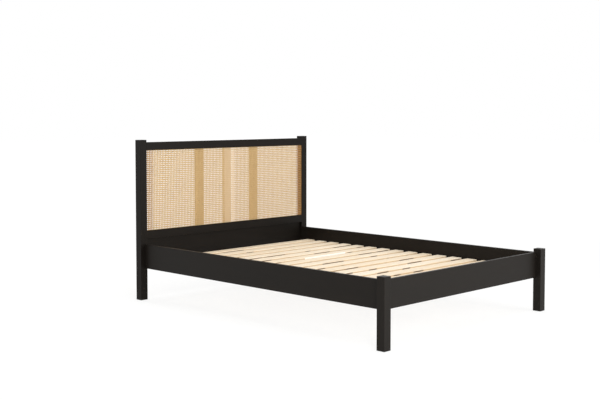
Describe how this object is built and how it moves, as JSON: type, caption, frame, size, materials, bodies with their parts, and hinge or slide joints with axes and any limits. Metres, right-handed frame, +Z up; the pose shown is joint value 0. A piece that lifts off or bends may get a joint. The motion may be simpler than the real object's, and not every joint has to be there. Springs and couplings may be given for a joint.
{
  "type": "bed frame",
  "caption": "Black wooden double bed frame with a cane-panel headboard, short square foot posts and a deck of pale slats.",
  "frame": {"origin": "on the floor, under the middle of the bed", "axes": "+X across the bed, +Y from foot to headboard, +Z up"},
  "size_m": [1.475, 2.01, 1],
  "materials": {
    "black_paint": "satin black paint over solid wood",
    "pine": "planed and unfinished pine",
    "amber_wood": "clear-lacquered wood",
    "cane": "natural open-weave cane",
    "beech": "plain beech",
    "zinc_steel": "zinc-plated steel",
    "black_steel": "black-coated steel",
    "glide_plastic": "moulded nylon"
  },
  "bodies": {
    "root": {"barrel_nuts": "black_steel", "bead_brads": "zinc_steel", "cam_bolts": "zinc_steel", "cam_locks": "zinc_steel", "cane_bead_bottom": "black_paint", "cane_bead_left": "black_paint", "cane_bead_right": "black_paint", "cane_bead_top": "black_paint", "cane_upright_centre": "amber_wood", "cane_upright_left": "amber_wood", "cane_upright_right": "amber_wood", "cane_webbing": "cane", "centre_bracket_foot": "black_steel", "centre_bracket_head": "black_steel", "centre_bracket_screws": "zinc_steel", "centre_rail": "pine", "floor_glides": "glide_plastic", "foot_post_left": "black_paint", "foot_post_right": "black_paint", "foot_rail": "black_paint", "head_bolts": "black_steel", "head_post_left": "black_paint", "head_post_right": "black_paint", "headboard_bottom_rail": "black_paint", "headboard_dowels": "beech", "headboard_lower_panel": "black_paint", "headboard_top_rail": "black_paint", "ledge_screws": "zinc_steel", "rail_dowels": "beech", "side_rail_left": "black_paint", "side_rail_right": "black_paint", "slat_01": "pine", "slat_02": "pine", "slat_03": "pine", "slat_04": "pine", "slat_05": "pine", "slat_06": "pine", "slat_07": "pine", "slat_08": "pine", "slat_09": "pine", "slat_10": "pine", "slat_11": "pine", "slat_12": "pine", "slat_13": "pine", "slat_14": "pine", "slat_15": "pine", "slat_16": "pine", "slat_ledge_left": "black_paint", "slat_ledge_right": "black_paint", "slat_screws": "zinc_steel", "upright_dowels": "beech"}
  },
  "joints": []
}
